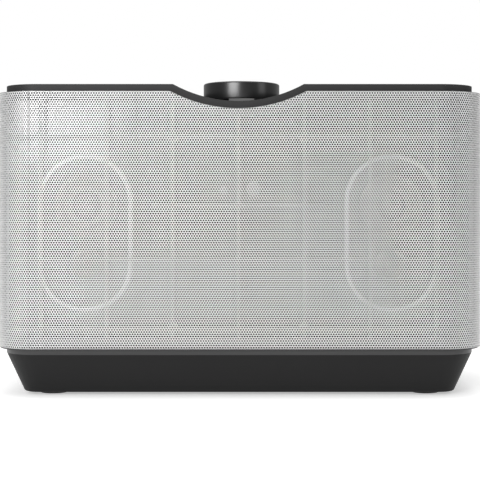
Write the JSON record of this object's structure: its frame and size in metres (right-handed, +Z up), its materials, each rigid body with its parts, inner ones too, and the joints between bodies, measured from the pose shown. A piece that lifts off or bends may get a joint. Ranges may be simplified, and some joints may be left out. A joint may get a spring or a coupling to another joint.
{
  "type": "mini hifi system",
  "caption": "One-box table-top hi-fi with a wrap-round perforated metal sleeve, a dipped top with a round volume knob, flush keys, a tapered base and rear sockets.",
  "frame": {"origin": "middle of the footprint, on the surface that the feet stand on", "axes": "+Z up, +X to the right seen from the front, the front faces -Y"},
  "size_m": [0.33, 0.16, 0.2168],
  "materials": {
    "base_plastic": "satin",
    "rubber": "soft",
    "screws": "zinc",
    "black_plastic": "fine grain",
    "cabinet_plastic": "fine grain",
    "gloss_black": "high gloss",
    "charcoal_panel": "satin charcoal",
    "silver_grille": "perforated, satin silver",
    "basket_steel": "black",
    "magnet": "plated and ferrite",
    "pod_gloss": "gloss",
    "smoked_window": "smoked",
    "light_window": "diffuse",
    "encoder_metal": "plated",
    "light_guide": "clear light guide",
    "socket_black": "smooth",
    "circuit_board": "solder resist",
    "socket_metal": "plated",
    "pins": "plated",
    "heat_sink": "extruded",
    "transformer": "laminated and taped",
    "capacitor_sleeve": "sleeved",
    "shield_can": "tinned",
    "lead_jacket": "insulated",
    "knob_gloss": "polished black",
    "driver_cone": "anodised",
    "paper_cone": "coated pulp",
    "key_gloss": "gloss"
  },
  "bodies": {
    "cabinet": {"base_shell": "base_plastic", "rubber_feet": "rubber", "base_screws": "screws", "bottom_deck": "black_plastic", "cabinet_shell": "cabinet_plastic", "front_baffle": "gloss_black", "top_panel": "charcoal_panel", "front_grille": "silver_grille", "grille_frame": "black_plastic", "left_driver_basket": "basket_steel", "left_driver_magnet": "magnet", "left_driver_surround": "rubber", "right_driver_basket": "basket_steel", "right_driver_magnet": "magnet", "right_driver_surround": "rubber", "woofer_basket": "basket_steel", "woofer_magnet": "magnet", "woofer_surround": "rubber", "left_pod": "pod_gloss", "left_port_tube": "black_plastic", "right_pod": "pod_gloss", "right_port_tube": "black_plastic", "driver_screws": "screws", "sensor_window": "smoked_window", "status_light": "light_window", "encoder_body": "encoder_metal", "light_ring": "light_guide", "key_switches": "socket_black", "control_board": "circuit_board", "rear_panel": "cabinet_plastic", "mains_inlet": "socket_black", "lan_socket": "socket_metal", "optical_socket": "socket_black", "usb_socket": "socket_metal", "aux_socket": "socket_black", "mains_pins": "pins", "rear_screws": "screws", "main_board": "circuit_board", "power_board": "circuit_board", "amplifier_heat_sink": "heat_sink", "transformer": "transformer", "capacitors": "capacitor_sleeve", "wifi_module": "shield_can", "speaker_leads": "lead_jacket"},
    "encoder_plunger": {"encoder_plunger": "encoder_metal"},
    "knob": {"knob": "knob_gloss", "encoder_shaft": "encoder_metal"},
    "left_cone": {"left_driver_cone": "driver_cone", "left_driver_dust_cap": "driver_cone"},
    "right_cone": {"right_driver_cone": "driver_cone", "right_driver_dust_cap": "driver_cone"},
    "woofer_cone": {"woofer_cone": "paper_cone", "woofer_dust_cap": "paper_cone"},
    "power_key": {"power_key": "key_gloss"},
    "input_key": {"input_key": "key_gloss"},
    "pairing_key": {"pairing_key": "key_gloss"},
    "previous_key": {"previous_key": "key_gloss"},
    "play_key": {"play_key": "key_gloss"},
    "next_key": {"next_key": "key_gloss"}
  },
  "joints": [
    {"name": "knob_push", "type": "slide", "parent": "cabinet", "child": "encoder_plunger", "axis": [0, 0, -1], "range_m": [0, 0.0006], "stiffness_N_per_m": 2500, "springref_m": -0.0004},
    {"name": "knob_turn", "type": "hinge", "parent": "encoder_plunger", "child": "knob", "pos_m": [0, 0, 0.21], "axis": [0, 0, 1], "continuous": true},
    {"name": "power_key_press", "type": "slide", "parent": "cabinet", "child": "power_key", "axis": [0, 0, -1], "range_m": [0, 0.0006], "stiffness_N_per_m": 1500, "springref_m": -0.0004},
    {"name": "input_key_press", "type": "slide", "parent": "cabinet", "child": "input_key", "axis": [0, 0, -1], "range_m": [0, 0.0006], "stiffness_N_per_m": 1500, "springref_m": -0.0004},
    {"name": "pairing_key_press", "type": "slide", "parent": "cabinet", "child": "pairing_key", "axis": [0, 0, -1], "range_m": [0, 0.0006], "stiffness_N_per_m": 1500, "springref_m": -0.0004},
    {"name": "previous_key_press", "type": "slide", "parent": "cabinet", "child": "previous_key", "axis": [0, 0, -1], "range_m": [0, 0.0006], "stiffness_N_per_m": 1500, "springref_m": -0.0004},
    {"name": "play_key_press", "type": "slide", "parent": "cabinet", "child": "play_key", "axis": [0, 0, -1], "range_m": [0, 0.0006], "stiffness_N_per_m": 1500, "springref_m": -0.0004},
    {"name": "next_key_press", "type": "slide", "parent": "cabinet", "child": "next_key", "axis": [0, 0, -1], "range_m": [0, 0.0006], "stiffness_N_per_m": 1500, "springref_m": -0.0004},
    {"name": "left_cone_travel", "type": "slide", "parent": "cabinet", "child": "left_cone", "axis": [0, -1, 0], "range_m": [-0.002, 0.002], "stiffness_N_per_m": 1200, "deforming": ["left_driver_surround"]},
    {"name": "right_cone_travel", "type": "slide", "parent": "cabinet", "child": "right_cone", "axis": [0, -1, 0], "range_m": [-0.002, 0.002], "stiffness_N_per_m": 1200, "deforming": ["right_driver_surround"]},
    {"name": "woofer_cone_travel", "type": "slide", "parent": "cabinet", "child": "woofer_cone", "axis": [0, 0, -1], "range_m": [-0.004, 0.004], "stiffness_N_per_m": 1800, "deforming": ["woofer_surround"]}
  ]
}
